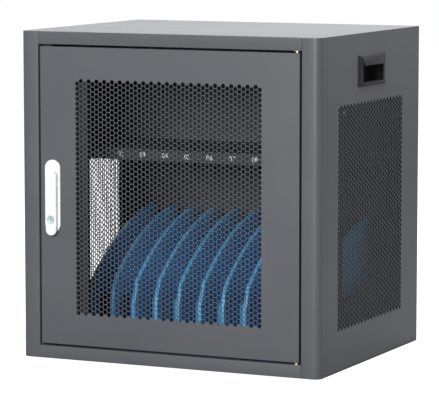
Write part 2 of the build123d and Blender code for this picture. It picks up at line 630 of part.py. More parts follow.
def cam():
    """Cam on the spindle's end; its tongue lies behind the stop lip of the frame."""
    d0, d1 = CAM_FRONT, CAM_FRONT + CAM_THICK
    half = CAM_WIDTH / 2
    tongue = block(LOCK_X - CAM_LENGTH, LOCK_X, d0, d1, SPINDLE_Z - half / 2, SPINDLE_Z + half / 2)
    plate = tongue + rod_y(LOCK_X, SPINDLE_Z, d0, d1, SPINDLE_R + SHEET)
    hole = rod_y(LOCK_X, SPINDLE_Z, d0 - 1, d1 + 1, SPINDLE_R)
    return plate - (hole & block(LOCK_X - SPINDLE_R, LOCK_X + SPINDLE_R, d0 - 1, d1 + 1,
                                 SPINDLE_Z - SPINDLE_FLAT, SPINDLE_Z + SPINDLE_FLAT))


def cam_screw():
    """Screw that holds the cam on the spindle."""
    back = CAM_FRONT + CAM_THICK
    return (rod_y(LOCK_X, SPINDLE_Z, back, back + CAM_SCREW_HEAD, CAM_SCREW_R)
            + rod_y(LOCK_X, SPINDLE_Z, back - CAM_SCREW_LENGTH, back, SCREW_R))


def lock_nut():
    """Ring nut that clamps the handle's base to the door."""
    ring = rod_y(LOCK_X, SPINDLE_Z, SHEET, SHEET + NUT_THICK, NUT_R)
    return ring - rod_y(LOCK_X, SPINDLE_Z, 0, 2 * NUT_THICK, SPINDLE_R + HOLE_CLEAR)


def rear_angles():
    """Folded angles that join the side sheets to the rear sheet."""
    outer = WIDTH / 2 - SHEET
    leg = block(outer - SHEET, outer, DEPTH - SHEET - ANGLE_LEG, DEPTH - SHEET, SHEET, HEIGHT - SHEET)
    leg += block(outer - ANGLE_LEG, outer, DEPTH - 2 * SHEET, DEPTH - SHEET, SHEET, HEIGHT - SHEET)
    return [leg, mirrored(leg)]


def back_screws():
    """Pan-head screws at the corners of the rear sheet."""
    x, low, high = WIDTH / 2 - BACK_SCREW_INSET, BACK_SCREW_INSET * 2, HEIGHT - BACK_SCREW_INSET * 2
    places = [(side * x, z) for side in (-1, 1) for z in (low, high)]
    return [rod_y(px, pz, DEPTH, DEPTH + SCREW_HEAD, SCREW_HEAD_R) for px, pz in places]


def cheek_screws():
    """Pan-head screws through the cheeks, heads towards the side sheets."""
    face, z = INNER_X + SHEET, HEIGHT - CHEEK_SCREW_DROP
    return [rod_x(*sorted((side * face, side * (face + SCREW_HEAD))), depth, z, SCREW_HEAD_R)
            for side in (-1, 1) for depth in CHEEK_SCREWS]


def door_bumpers():
    """Rubber pads between the door and the frame's stop lip."""
    x = -DOOR_X + DOOR_FLANGE / 4
    return [rod_y(x, z, DOOR_DEPTH, DOOR_DEPTH + BUMPER_THICK, DOOR_FLANGE / 4)
            for z in (DOOR_LOW + BUMPER_Z, DOOR_HIGH - BUMPER_Z)]


def build():
    """Write every node."""
    os.makedirs("parts", exist_ok=True)
    inside = HEIGHT - SHEET
    right_stile = stile(False)
    save("front_stile_right", right_stile)
    save("front_stile_left", mirrored(stile(True)))
    save("front_rail_top", rail(HEIGHT - SHEET, OPENING_HIGH))
    save("front_rail_bottom", rail(SHEET, OPENING_LOW))
    save("top_panel", plan_corner(block(-WIDTH / 2, WIDTH / 2, 0, DEPTH, inside, HEIGHT)))
    save("base_pan", plan_corner(block(-WIDTH / 2, WIDTH / 2, 0, DEPTH, 0, SHEET)))
    right_side = side_panel()
    save("side_panel_right", right_side)
    save("side_panel_left", mirrored(right_side))
    save("back_panel", back_panel())
    save("rear_angles", *rear_angles())
    right_cheek = cheek()
    save("cheek_right", right_cheek)
    save("cheek_left", mirrored(right_cheek))
    save("bay_shelf", shelf())
    save("compartment_panel", block(-INNER_X, INNER_X, PANEL_DEPTH, PANEL_DEPTH + SHEET, SHELF_TOP, inside))
    save("rear_partition", block(-INNER_X, INNER_X, CHEEK_DEPTH - SHEET, CHEEK_DEPTH, SHEET, inside))
    save("power_supply", supply())
    save("charging_board", charging_board())
    save("charging_ports", *[port((k - (BAYS - 1) / 2) * BAY_PITCH) for k in range(BAYS)])
    save("mains_inlet", inlet())
    save("inlet_blades", *inlet_blades())
    save("switch_housing", switch_housing())
    save("switch_rocker", rocker())
    save("divider_base", divider_base())
    for number, x in enumerate(divider_places(), 1):
        save(f"divider_{number:02d}", divider(x))
    right_handle = carry_handle()
    save("carry_handle_right", right_handle)
    save("carry_handle_left", mirrored(right_handle))
    save("hinge_bush_top", hinge_bush(OPENING_HIGH, OPENING_HIGH - BUSH_FLANGE))
    save("hinge_bush_bottom", hinge_bush(OPENING_LOW - SHEET, OPENING_LOW))
    save("back_screws", *back_screws())
    save("cheek_screws", *cheek_screws())
    save("door_skin", door_skin())
    save("door_frame", *door_frame())
    save("door_stiffener", stiffener())
    save("door_bumpers", *door_bumpers())
    save("hinge_brackets", *hinge_brackets())
    save("hinge_pins", *hinge_pins())
    save("handle_base", handle_base())
    save("lock_nut", lock_nut())
    save("lock_spindle", spindle())
    save("lock_cam", cam())
    save("cam_screw", cam_screw())
    save("handle_lever", lever())
    save("lever_pin", rod_x(LOCK_X - LEVER_PIN_HALF, LOCK_X + LEVER_PIN_HALF, -LEVER_PIN_DEPTH, SPINDLE_Z,
                            LEVER_PIN_R))
    save("lock_barrel", lock_barrel())


build()
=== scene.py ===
"""Dresses the laptop charging cabinet: perforated steel, folded frame, lock, handles, dividers, finishes."""

import functools
import logging
import math
from collections.abc import Callable, Iterator, Sequence
from contextlib import contextmanager
from dataclasses import dataclass
from enum import Enum

import bmesh
import bpy
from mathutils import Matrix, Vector


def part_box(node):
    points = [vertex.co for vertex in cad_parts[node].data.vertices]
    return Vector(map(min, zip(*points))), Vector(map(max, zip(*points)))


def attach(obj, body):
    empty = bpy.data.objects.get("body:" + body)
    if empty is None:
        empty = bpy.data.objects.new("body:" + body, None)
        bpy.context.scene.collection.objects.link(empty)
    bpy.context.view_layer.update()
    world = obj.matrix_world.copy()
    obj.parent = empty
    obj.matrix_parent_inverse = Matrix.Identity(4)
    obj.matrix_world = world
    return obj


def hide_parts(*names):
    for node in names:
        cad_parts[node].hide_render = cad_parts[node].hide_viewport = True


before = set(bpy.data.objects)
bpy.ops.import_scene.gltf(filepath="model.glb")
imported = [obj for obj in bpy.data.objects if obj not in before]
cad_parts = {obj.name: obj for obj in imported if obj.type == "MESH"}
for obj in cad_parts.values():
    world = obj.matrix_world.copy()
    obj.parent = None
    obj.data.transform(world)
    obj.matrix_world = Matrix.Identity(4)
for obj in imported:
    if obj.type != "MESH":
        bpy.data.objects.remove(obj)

LOG = logging.getLogger("charging_cabinet")
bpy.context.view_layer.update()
MM = 0.001
SHEET = 1.2 * MM
TOUCH = 0.01 * MM
UPRIGHT_TO_FRONT = (90, 0, 0)
PILL_SIDES = 48


class Part(Enum):
    """What is picked in edit mode."""

    POINTS = "VERT"
    EDGES = "EDGE"
    FACES = "FACE"


class Texture(Enum):
    """How a finish is broken up."""

    POWDER = "powder"
    MOULDED = "moulded"
    METAL = "metal"


def lone(piece: bpy.types.Object | None = None) -> None:
    """Leaves edit mode and selects one piece alone, or nothing.

    Args:
        piece: The piece to select and make active.
    """
    if bpy.context.mode != "OBJECT":
        bpy.ops.object.mode_set(mode="OBJECT")
    bpy.ops.object.select_all(action="DESELECT")
    if piece is not None:
        piece.select_set(True)
        bpy.context.view_layer.objects.active = piece


@contextmanager
def shaping(piece: bpy.types.Object) -> Iterator[None]:
    """Keeps a piece in edit mode for a block of work."""
    lone(piece)
    bpy.ops.object.mode_set(mode="EDIT")
    yield
    bpy.ops.object.mode_set(mode="OBJECT")


def middle(item: bmesh.types.BMEdge | bmesh.types.BMFace) -> Vector:
    """Middle of an edge's or a face's corners."""
    return sum((point.co for point in item.verts), Vector()) / len(item.verts)


def lies_at(edge: bmesh.types.BMEdge, axis: int, *values: float) -> bool:
    """Whether an edge lies in one of the planes across an axis."""
    return any(all(abs(point.co[axis] - value) < TOUCH for point in edge.verts) for value in values)


def pick(piece: bpy.types.Object, part: Part, test: Callable) -> int:
    """Selects what passes a test, in edit mode, and nothing else.

    Args:
        piece: The piece in edit mode.
        part: Points, edges or faces.
        test: Takes one item and says whether it is wanted.

    Returns:
        How many were selected.
    """
    bpy.ops.mesh.select_mode(type=part.value)
    bpy.ops.mesh.select_all(action="DESELECT")
    mesh = bmesh.from_edit_mesh(piece.data)
    mesh.normal_update()
    items = {Part.POINTS: mesh.verts, Part.EDGES: mesh.edges, Part.FACES: mesh.faces}[part]
    found = [item for item in items if test(item)]
    for item in found:
        item.select_set(True)
    mesh.select_flush_mode()
    bmesh.update_edit_mesh(piece.data)
    return len(found)


def settle(piece: bpy.types.Object) -> None:
    """Puts a piece's place, turn and scale into its mesh."""
    lone(piece)
    bpy.ops.object.transform_apply(location=True, rotation=True, scale=True)


def apply_modifiers(piece: bpy.types.Object) -> None:
    """Applies every modifier of a piece, in order."""
    lone(piece)
    for name in [modifier.name for modifier in piece.modifiers]:
        bpy.ops.object.modifier_apply(modifier=name)


def named(name: str) -> bpy.types.Object:
    """Names the piece that was just added."""
    piece = bpy.context.object
    piece.name = name
    piece.data.name = name
    return piece


def plate(name: str, low: Sequence[float], high: Sequence[float]) -> bpy.types.Object:
    """Adds a box between two corners, in metres."""
    lone()
    low, high = Vector(low), Vector(high)
    bpy.ops.mesh.primitive_cube_add(size=1, location=(low + high) / 2)
    piece = named(name)
    piece.scale = high - low
    settle(piece)
    return piece


def bar(name: str, centre: Sequence[float], radius: float, length: float, turn: Sequence[float],
        sides: int = 32) -> bpy.types.Object:
    """Adds a round bar, in metres, turned from upright by angles in degrees."""
    lone()
    bpy.ops.mesh.primitive_cylinder_add(vertices=sides, radius=radius, depth=length, location=centre,
                                        rotation=[math.radians(angle) for angle in turn])
    piece = named(name)
    settle(piece)
    return piece


def outline(name: str, points: Sequence[Sequence[float]], closed: bool = True) -> bpy.types.Object:
    """Draws a line by extruding one point from corner to corner.

    Args:
        name: Name of the new piece.
        points: Corners in metres.
        closed: Whether the line returns to its start.

    Returns:
        The piece, which has edges only.
    """
    lone()
    bpy.ops.mesh.primitive_plane_add(size=MM, location=(0, 0, 0))
    piece = named(name)
    corners = [Vector(point) for point in points]
    if closed:
        corners.append(corners[0])
    with shaping(piece):
        bpy.ops.mesh.select_mode(type="VERT")
        bpy.ops.mesh.select_all(action="SELECT")
        bpy.ops.mesh.merge(type="CENTER")
        bpy.ops.transform.translate(value=corners[0])
        for here, there in zip(corners, corners[1:]):
            bpy.ops.mesh.extrude_region_move(TRANSFORM_OT_translate={"value": there - here})
        bpy.ops.mesh.select_all(action="SELECT")
        bpy.ops.mesh.remove_doubles(threshold=1e-6)
    return piece


def face_out(piece: bpy.types.Object, outward: Sequence[float]) -> None:
    """Makes an open sheet's faces agree, with those that look along outward on its outer side."""
    outward = Vector(outward)
    with shaping(piece):
        bpy.ops.mesh.select_all(action="SELECT")
        bpy.ops.mesh.normals_make_consistent(inside=False)
        mesh = bmesh.from_edit_mesh(piece.data)
        mesh.normal_update()
        facing = sum(face.normal.dot(outward) * face.calc_area() for face in mesh.faces)
        if facing < 0:
            bpy.ops.mesh.flip_normals()


def thicken(piece: bpy.types.Object, wall: float) -> None:
    """Gives an open sheet its wall, inwards from its outer side."""
    modifier = piece.modifiers.new("wall", "SOLIDIFY")
    modifier.thickness = wall
    modifier.offset = -1
    modifier.use_even_offset = True
    apply_modifiers(piece)


def bevel(piece: bpy.types.Object, test: Callable, width: float, segments: int = 3) -> None:
    """Rounds the edges that pass a test."""
    with shaping(piece):
        if pick(piece, Part.EDGES, test):
            bpy.ops.mesh.bevel(offset=width, offset_type="OFFSET", segments=segments, affect="EDGES")


def soft_edges(piece: bpy.types.Object, width: float, segments: int = 2, degrees: float = 40) -> None:
    """Rounds every sharp edge of a piece a little."""
    modifier = piece.modifiers.new("edges", "BEVEL")
    modifier.width = width
    modifier.segments = segments
    modifier.limit_method = "ANGLE"
    modifier.angle_limit = math.radians(degrees)
    apply_modifiers(piece)


def smooth(piece: bpy.types.Object, degrees: float = 30) -> None:
    """Shades round stretches smooth and keeps edges crisp."""
    lone(piece)
    bpy.ops.object.shade_smooth_by_angle(angle=math.radians(degrees))


def join(pieces: Sequence[bpy.types.Object], name: str) -> bpy.types.Object:
    """Joins pieces into the first one."""
    lone(pieces[0])
    for piece in pieces:
        piece.select_set(True)
    if len(pieces) > 1:
        bpy.ops.object.join()
    return named(name)


def copied(piece: bpy.types.Object, name: str, shift: Sequence[float] = (0, 0, 0),
           flip: bool = False) -> bpy.types.Object:
    """Copies a piece with its own mesh, moved by a shift or mirrored across the cabinet.

    Args:
        piece: The piece to copy.
        name: Name of the copy.
        shift: How far the copy moves, in metres.
        flip: Whether the copy is mirrored left to right.

    Returns:
        The copy, with its place in its mesh.
    """
    lone(piece)
    bpy.ops.object.duplicate(linked=False)
    copy = named(name)
    copy.location = shift
    if flip:
        copy.scale.x = -1
    settle(copy)
    if flip:
        with shaping(copy):
            bpy.ops.mesh.select_all(action="SELECT")
            bpy.ops.mesh.normals_make_consistent(inside=False)
    return copy


def cut(piece: bpy.types.Object, tool: bpy.types.Object, operation: str = "DIFFERENCE") -> None:
    """Cuts one closed piece with another, or unites them, and removes the tool."""
    modifier = piece.modifiers.new("cut", "BOOLEAN")
    modifier.operation = operation
    modifier.solver = "EXACT"
    modifier.object = tool
    apply_modifiers(piece)
    bpy.data.objects.remove(tool)


BRUSHED = (1, 1, 0.04)
NOISE_ROUGHNESS = {Texture.POWDER: 0.45, Texture.MOULDED: 0.3, Texture.METAL: 0.7}
BROAD_SCALE = 14.0
FINE_SHARE = 0.35
MIX_A, MIX_B, MIX_RESULT = 6, 7, 2
BUMP_STRENGTH = 0.35
COAT_ROUGHNESS = 0.12


def surface_group(texture: Texture) -> bpy.types.ShaderNodeTree:
    """Builds the shader group that breaks up a kind of surface, once.

    Args:
        texture: The kind of surface.

    Returns:
        A group with Scale, Colour A and Colour B going in, and Colour, Roughness and Height coming out.
    """
    name = f"surface_{texture.value}"
    if name in bpy.data.node_groups:
        return bpy.data.node_groups[name]
    group = bpy.data.node_groups.new(name, "ShaderNodeTree")
    sockets = [("Scale", "INPUT", "NodeSocketFloat"), ("Colour A", "INPUT", "NodeSocketColor"),
               ("Colour B", "INPUT", "NodeSocketColor"), ("Roughness Low", "INPUT", "NodeSocketFloat"),
               ("Roughness High", "INPUT", "NodeSocketFloat"), ("Colour", "OUTPUT", "NodeSocketColor"),
               ("Roughness", "OUTPUT", "NodeSocketFloat"), ("Height", "OUTPUT", "NodeSocketFloat")]
    for label, way, kind in sockets:
        group.interface.new_socket(name=label, in_out=way, socket_type=kind)
    inner, outer, place, mapping, fine, broad, share, blend, mix, rough = (
        group.nodes.new(kind) for kind in (
            "NodeGroupInput", "NodeGroupOutput", "ShaderNodeTexCoord", "ShaderNodeMapping",
            "ShaderNodeTexNoise", "ShaderNodeTexNoise", "ShaderNodeMath", "ShaderNodeMath",
            "ShaderNodeMix", "ShaderNodeMapRange"))
    share.operation, blend.operation, mix.data_type = "MULTIPLY", "MULTIPLY_ADD", "RGBA"
    for node, label, value in (
            (mapping, "Scale", BRUSHED if texture is Texture.METAL else (1, 1, 1)),
            (fine, "Detail", 2.0), (fine, "Roughness", NOISE_ROUGHNESS[texture]),
            (broad, "Scale", BROAD_SCALE), (broad, "Detail", 3.0),
            (share, 1, 1 - FINE_SHARE), (blend, 1, FINE_SHARE),
            (rough, "From Min", 0.3), (rough, "From Max", 0.7)):
        node.inputs[label].default_value = value
    for giver, given, taker, taken in (
            (place, "Object", mapping, "Vector"), (mapping, "Vector", fine, "Vector"),
            (place, "Object", broad, "Vector"), (inner, "Scale", fine, "Scale"),
            (fine, "Fac", blend, 0), (broad, "Fac", share, 0), (share, 0, blend, 2),
            (blend, 0, mix, "Factor"), (inner, "Colour A", mix, MIX_A), (inner, "Colour B", mix, MIX_B),
            (blend, 0, rough, "Value"), (inner, "Roughness Low", rough, "To Min"),
            (inner, "Roughness High", rough, "To Max"), (mix, MIX_RESULT, outer, "Colour"),
            (rough, "Result", outer, "Roughness"), (fine, "Fac", outer, "Height")):
        group.links.new(giver.outputs[given], taker.inputs[taken])
    return group


@dataclass(frozen=True)
class Finish:
    """A surface finish: its record slot, two close colours, gloss and grain.

    Attributes:
        slot: Name of the colour slot, and of the material.
        colour: First of the two colours that the grain mixes.
        shade: Second colour.
        rough: Lowest and highest roughness.
        texture: How the surface is broken up.
        grain: Scale of the fine grain.
        depth: Height of the grain in millimetres.
        metallic: Share of metal.
        coat: Weight of the clear coat.
        specular: Level of the plain reflection.
    """

    slot: str
    colour: tuple[float, float, float]
    shade: tuple[float, float, float]
    rough: tuple[float, float]
    texture: Texture = Texture.POWDER
    grain: float = 900.0
    depth: float = 0.03
    metallic: float = 0.0
    coat: float = 0.0
    specular: float = 0.5

    @functools.cache
    def material(self) -> bpy.types.Material:
        """Builds the finish's material, once, over the plain one that the slot came with.

        Returns:
            The material, named for the slot.
        """
        material = bpy.data.materials.get(self.slot) or bpy.data.materials.new(self.slot)
        material.use_nodes = True
        nodes, links = material.node_tree.nodes, material.node_tree.links
        nodes.clear()
        shader, output = nodes.new("ShaderNodeBsdfPrincipled"), nodes.new("ShaderNodeOutputMaterial")
        links.new(shader.outputs["BSDF"], output.inputs["Surface"])
        surface, bump = nodes.new("ShaderNodeGroup"), nodes.new("ShaderNodeBump")
        surface.node_tree = surface_group(self.texture)
        for node, label, value in (
                (surface, "Scale", self.grain), (surface, "Colour A", (*self.colour, 1)),
                (surface, "Colour B", (*self.shade, 1)), (surface, "Roughness Low", self.rough[0]),
                (surface, "Roughness High", self.rough[1]), (bump, "Strength", BUMP_STRENGTH),
                (bump, "Distance", self.depth * MM), (shader, "Metallic", self.metallic),
                (shader, "Coat Weight", self.coat), (shader, "Coat Roughness", COAT_ROUGHNESS),
                (shader, "Specular IOR Level", self.specular)):
            node.inputs[label].default_value = value
        for giver, given, taker, taken in (
                (surface, "Colour", shader, "Base Color"), (surface, "Roughness", shader, "Roughness"),
                (surface, "Height", bump, "Height"), (bump, "Normal", shader, "Normal")):
            links.new(giver.outputs[given], taker.inputs[taken])
        return material

    def cover(self, piece: bpy.types.Object, body: str, *nodes: str) -> None:
        """Gives a new piece this finish, its body and the solids that it stands for."""
        settle(piece)
        piece.data.materials.clear()
        piece.data.materials.append(self.material())
        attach(piece, body)
        if nodes:
            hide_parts(*nodes)
        LOG.info("%s: %s faces on %s", piece.name, len(piece.data.polygons), body)

    def dress(self, *nodes: str) -> None:
        """Gives this finish to solids that stay as they are."""
        for name in nodes:
            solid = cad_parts[name]
            solid.data.materials.clear()
            solid.data.materials.append(self.material())


CABINET_PAINT = Finish("cabinet_paint", (0.074, 0.076, 0.086), (0.088, 0.090, 0.100), (0.34, 0.46),
                       specular=0.4)
DOOR_PAINT = Finish("door_paint", (0.074, 0.076, 0.086), (0.088, 0.090, 0.100), (0.34, 0.46), specular=0.4)
# near-black paint of the inner cheeks, also laid on the door stiffener as painted shade
CHEEK_PAINT_AND_STIFFENER_SHADE = Finish("cheek_paint", (0.028, 0.029, 0.031), (0.035, 0.036, 0.038), (0.42, 0.52),
                     specular=0.15)
SHELF_PAINT = Finish("shelf_paint", (0.040, 0.041, 0.045), (0.050, 0.051, 0.055), (0.42, 0.52),
                     specular=0.15)
PANEL_PAINT = Finish("panel_paint", (0.070, 0.071, 0.075), (0.086, 0.087, 0.091), (0.45, 0.55),
                     specular=0.15)
NUMBER_INK = Finish("shelf_paint_ink", (0.80, 0.80, 0.80), (0.86, 0.86, 0.86), (0.45, 0.55))
DIVIDER_PLASTIC = Finish("divider_plastic", (0.085, 0.400, 0.780), (0.105, 0.450, 0.840), (0.24, 0.34),
                         Texture.MOULDED, 260.0, 0.05, coat=0.25)
DARK_PLASTIC = Finish("dark_plastic", (0.018, 0.018, 0.020), (0.026, 0.026, 0.028), (0.45, 0.60),
                      Texture.MOULDED, 700.0, 0.04)
HANDLE_PLASTIC = Finish("handle_plastic", (0.016, 0.016, 0.018), (0.022, 0.022, 0.024), (0.55, 0.68),
                        Texture.MOULDED, 500.0, 0.04, specular=0.25)
ROCKER_PLASTIC = Finish("rocker_plastic", (0.30, 0.015, 0.015), (0.36, 0.02, 0.02), (0.22, 0.32),
                        Texture.MOULDED, 400.0, 0.03)
SUPPLY_CASE = Finish("supply_case", (0.27, 0.27, 0.28), (0.33, 0.33, 0.34), (0.40, 0.50))
CIRCUIT_BOARD = Finish("circuit_board", (0.018, 0.022, 0.026), (0.028, 0.032, 0.036), (0.45, 0.60),
                       Texture.MOULDED, 300.0, 0.03)
PORT_SHELL = Finish("port_shell", (0.026, 0.026, 0.028), (0.036, 0.036, 0.038), (0.40, 0.55),
                    Texture.MOULDED, 500.0, 0.03)
CONTACT_METAL = Finish("contact_metal", (0.66, 0.54, 0.26), (0.74, 0.62, 0.34), (0.20, 0.32),
                       Texture.METAL, 500.0, 0.02, 1.0)
BUSH_BRASS = Finish("bush_brass", (0.60, 0.48, 0.24), (0.70, 0.57, 0.31), (0.24, 0.38),
                    Texture.METAL, 500.0, 0.02, 1.0)
SCREW_STEEL = Finish("screw_steel", (0.46, 0.46, 0.48), (0.56, 0.56, 0.58), (0.26, 0.42),
                     Texture.METAL, 600.0, 0.02, 1.0)
LOCK_CHROME = Finish("lock_chrome", (0.84, 0.85, 0.85), (0.88, 0.89, 0.89), (0.24, 0.34),
                     Texture.MOULDED, 400.0, 0.01, coat=0.3)
KEY_FACE = Finish("key_face", (0.50, 0.66, 0.70), (0.58, 0.74, 0.78), (0.25, 0.35),
                  Texture.METAL, 700.0, 0.02, 0.6)
BUMPER_RUBBER = Finish("bumper_rubber", (0.020, 0.020, 0.020), (0.030, 0.030, 0.030), (0.70, 0.85),
                       Texture.MOULDED, 800.0, 0.04)


@dataclass
class Carcass:
    """Folded front frame, top, base and the solids that stay, with the numbers on the shelf's lip."""

    corner: float = 9.0 * MM
    fold: float = 1.0 * MM
    rim: float = 0.5 * MM
    lip_depth: float = 11.0 * MM
    digit_height: float = 8.6 * MM
    digit_drop: float = 7.4 * MM
    digit_proud: float = 0.12 * MM
    digit_thick: float = 0.08 * MM
    bays: int = 10
    bay_pitch: float = 30.0 * MM

    def folded(self, name: str, points: Sequence[Sequence[float]], run: Sequence[float],
               outward: Sequence[float], corners: dict[int, float]) -> bpy.types.Object:
        """Folds a sheet round a profile of its outer side.

        Args:
            name: Name of the piece.
            points: The profile's corners, in metres.
            run: Length and direction of the fold lines.
            outward: Where most of the outer side looks.
            corners: Radius of the fold at each of the profile's points that has one.

        Returns:
            The sheet with its wall.
        """
        piece = outline(name, points, closed=False)
        with shaping(piece):
            bpy.ops.mesh.select_all(action="SELECT")
            bpy.ops.mesh.extrude_region_move(TRANSFORM_OT_translate={"value": run})
        half = Vector(run) / 2
        for index, radius in corners.items():
            spot = Vector(points[index]) + half
            bevel(piece, lambda edge: (middle(edge) - spot).length < 2 * TOUCH, radius,
                  10 if radius == self.corner else 3)
        face_out(piece, outward)
        thicken(piece, SHEET)
        smooth(piece)
        return piece

    def stiles(self) -> None:
        """Builds both front stiles; the left one has the stop lip that the cam closes behind."""
        low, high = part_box("front_stile_right")
        opening, side, front, wrap = low.x, high.x, low.y, high.y
        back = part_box("front_rail_top")[1].y
        run = (0, 0, high.z - low.z)
        profile = [(opening, back, low.z), (opening, front, low.z),
                   (side, front, low.z), (side, wrap, low.z)]
        right = self.folded("stile_right", profile, run, (1, -1, 0), {1: self.fold, 2: self.corner})
        CABINET_PAINT.cover(right, "cabinet", "front_stile_right")
        back -= SHEET
        profile = [(self.lip_depth - opening, back, low.z), (-opening, back, low.z),
                   (-opening, front, low.z), (-side, front, low.z), (-side, wrap, low.z)]
        left = self.folded("stile_left", profile, run, (-1, -1, 0),
                           {1: self.fold, 2: self.fold, 3: self.corner})
        CABINET_PAINT.cover(left, "cabinet", "front_stile_left")

    def rails(self) -> None:
        """Builds the top and bottom front rails, folded back round the opening."""
        for name, up in (("front_rail_top", 1), ("front_rail_bottom", -1)):
            low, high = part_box(name)
            inner, outer = (low.z, high.z) if up > 0 else (high.z, low.z)
            profile = [(low.x, high.y, inner), (low.x, low.y, inner), (low.x, low.y, outer)]
            rail = self.folded(name.replace("front_", ""), profile, (high.x - low.x, 0, 0), (0, -1, -up),
                               {1: self.fold})
            CABINET_PAINT.cover(rail, "cabinet", name)

    def lids(self) -> None:
        """Builds the top panel and the base pan with their rounded front corners and eased rims."""
        for name, up in (("top_panel", 1), ("base_pan", -1)):
            low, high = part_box(name)
            lid = plate(name.split("_")[0] + "_sheet", low, high)
            bevel(lid, lambda edge: abs(edge.verts[0].co.z - edge.verts[1].co.z) > 0.5 * MM
                  and middle(edge).y < 0, self.corner, 10)
            face = high.z if up > 0 else low.z
            bevel(lid, lambda edge: lies_at(edge, 2, face), self.rim, 2)
            smooth(lid)
            CABINET_PAINT.cover(lid, "cabinet", name)

    def numbers(self) -> None:
        """Prints the plain bay numbers on the folded lip of the shelf, in their own ink finish."""
        low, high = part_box("bay_shelf")
        digits = []
        for bay in range(self.bays):
            lone()
            x = (bay - (self.bays - 1) / 2) * self.bay_pitch
            bpy.ops.object.text_add(location=(x, low.y - self.digit_proud, high.z - self.digit_drop),
                                    rotation=(math.pi / 2, 0, 0))
            digit = bpy.context.object
            digit.data.body = f"{bay + 1:02d}"
            digit.data.size = self.digit_height
            digit.data.align_x = "CENTER"
            digit.data.align_y = "CENTER"
            digit.data.resolution_u = 3
            digit.data.extrude = self.digit_thick
            bpy.ops.object.convert(target="MESH")
            settle(bpy.context.object)
            digits.append(bpy.context.object)
        NUMBER_INK.cover(join(digits, "bay_numbers"), "cabinet")

    def build(self) -> None:
        """Builds the carcass and dresses its plain solids."""
        self.stiles()
        self.rails()
        self.lids()
        self.numbers()
        CABINET_PAINT.dress("back_panel", "rear_angles")
        CHEEK_PAINT_AND_STIFFENER_SHADE.dress("cheek_right", "cheek_left")
        SHELF_PAINT.dress("bay_shelf")
        PANEL_PAINT.dress("compartment_panel", "rear_partition")
        BUSH_BRASS.dress("hinge_bush_top", "hinge_bush_bottom")


@dataclass
class PerforatedSheet:
    """Steel sheet with a honeycomb of hexagonal holes at their true pitch.

    Attributes:
        name: Name of the piece.
        node: The solid that the sheet stands for.
        columns: Columns of holes.
        rows: Holes in each column.
        middle_u: Middle of the field along the sheet.
        middle_z: Middle of the field in height.
        gap: Start, end, low and high side of an opening beside the field.
        pitch: Height from hole to hole.
        web: Steel between two holes.
        edge: Radius of the sheet's rim.
    """

    name: str
    node: str
    columns: int
    rows: int
    middle_u: float
    middle_z: float
    gap: tuple[float, float, float, float]
    pitch: float = 6.0 * MM
    web: float = 0.75 * MM
    edge: float = 0.8 * MM

    def cells(self) -> bpy.types.Object:
        """Builds the field of hexagonal rings, in the XZ plane.

        Returns:
            The field, open round its jagged border.
        """
        step = self.pitch * math.sqrt(3) / 2
        left = self.middle_u - (self.columns - 1) / 2 * step
        low = self.middle_z - (self.rows - 1) / 2 * self.pitch - self.pitch / 4
        lone()
        bpy.ops.mesh.primitive_circle_add(vertices=6, radius=self.pitch / math.sqrt(3), fill_type="NGON",
                                          location=(left, 0, low), rotation=(math.pi / 2, math.pi / 6, 0))
        field = named(self.name)
        settle(field)
        with shaping(field):
            bpy.ops.mesh.select_all(action="SELECT")
            bpy.ops.mesh.inset(thickness=self.web / 2)
            bpy.ops.mesh.delete(type="FACE")
            bpy.ops.mesh.select_all(action="SELECT")
            bpy.ops.mesh.duplicate_move(TRANSFORM_OT_translate={"value": (step, 0, self.pitch / 2)})
        for count, shift in ((self.rows, (0, 0, self.pitch)), ((self.columns + 1) // 2, (2 * step, 0, 0))):
            modifier = field.modifiers.new("repeat", "ARRAY")
            modifier.count = count
            modifier.use_relative_offset = False
            modifier.use_constant_offset = True
            modifier.constant_offset_displace = shift
        apply_modifiers(field)
        right = left + (self.columns - 0.5) * step
        with shaping(field):
            bpy.ops.mesh.select_all(action="SELECT")
            bpy.ops.mesh.remove_doubles(threshold=TOUCH)
            if pick(field, Part.FACES, lambda face: middle(face).x > right):
                bpy.ops.mesh.delete(type="FACE")
        return field

    def build(self) -> bpy.types.Object:
        """Fills the sheet round the field and gives it its thickness.

        Returns:
            The sheet in the place of its solid.
        """
        low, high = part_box(self.node)
        sideways = high.x - low.x < high.y - low.y
        u0, u1 = (low.y, high.y) if sideways else (low.x, high.x)
        pieces = [self.cells()]
        for name, (start, end, bottom, top) in (("rim", (u0, u1, low.z, high.z)), ("gap", self.gap)):
            corners = (start, bottom), (end, bottom), (end, top), (start, top)
            pieces.append(outline(name, [(u, 0, z) for u, z in corners]))
        sheet = join(pieces, self.name)
        longest_hole_side = (self.pitch - self.web / 2) / math.sqrt(3)
        with shaping(sheet):
            pick(sheet, Part.EDGES, lambda edge: not edge.link_faces
                 or (edge.is_boundary and edge.calc_length() > longest_hole_side))
            bpy.ops.mesh.fill(use_beauty=True)
        face_out(sheet, (0, -1, 0))
        thicken(sheet, SHEET)
        bevel(sheet, lambda edge: lies_at(edge, 1, 0)
              and (lies_at(edge, 0, u0, u1) or lies_at(edge, 2, low.z, high.z)), self.edge, 3)
        if sideways:
            sheet.rotation_euler.z = math.pi / 2
            sheet.location.x = high.x
        else:
            sheet.location.y = low.y
        settle(sheet)
        lone(sheet)
        bpy.ops.object.shade_flat()
        return sheet


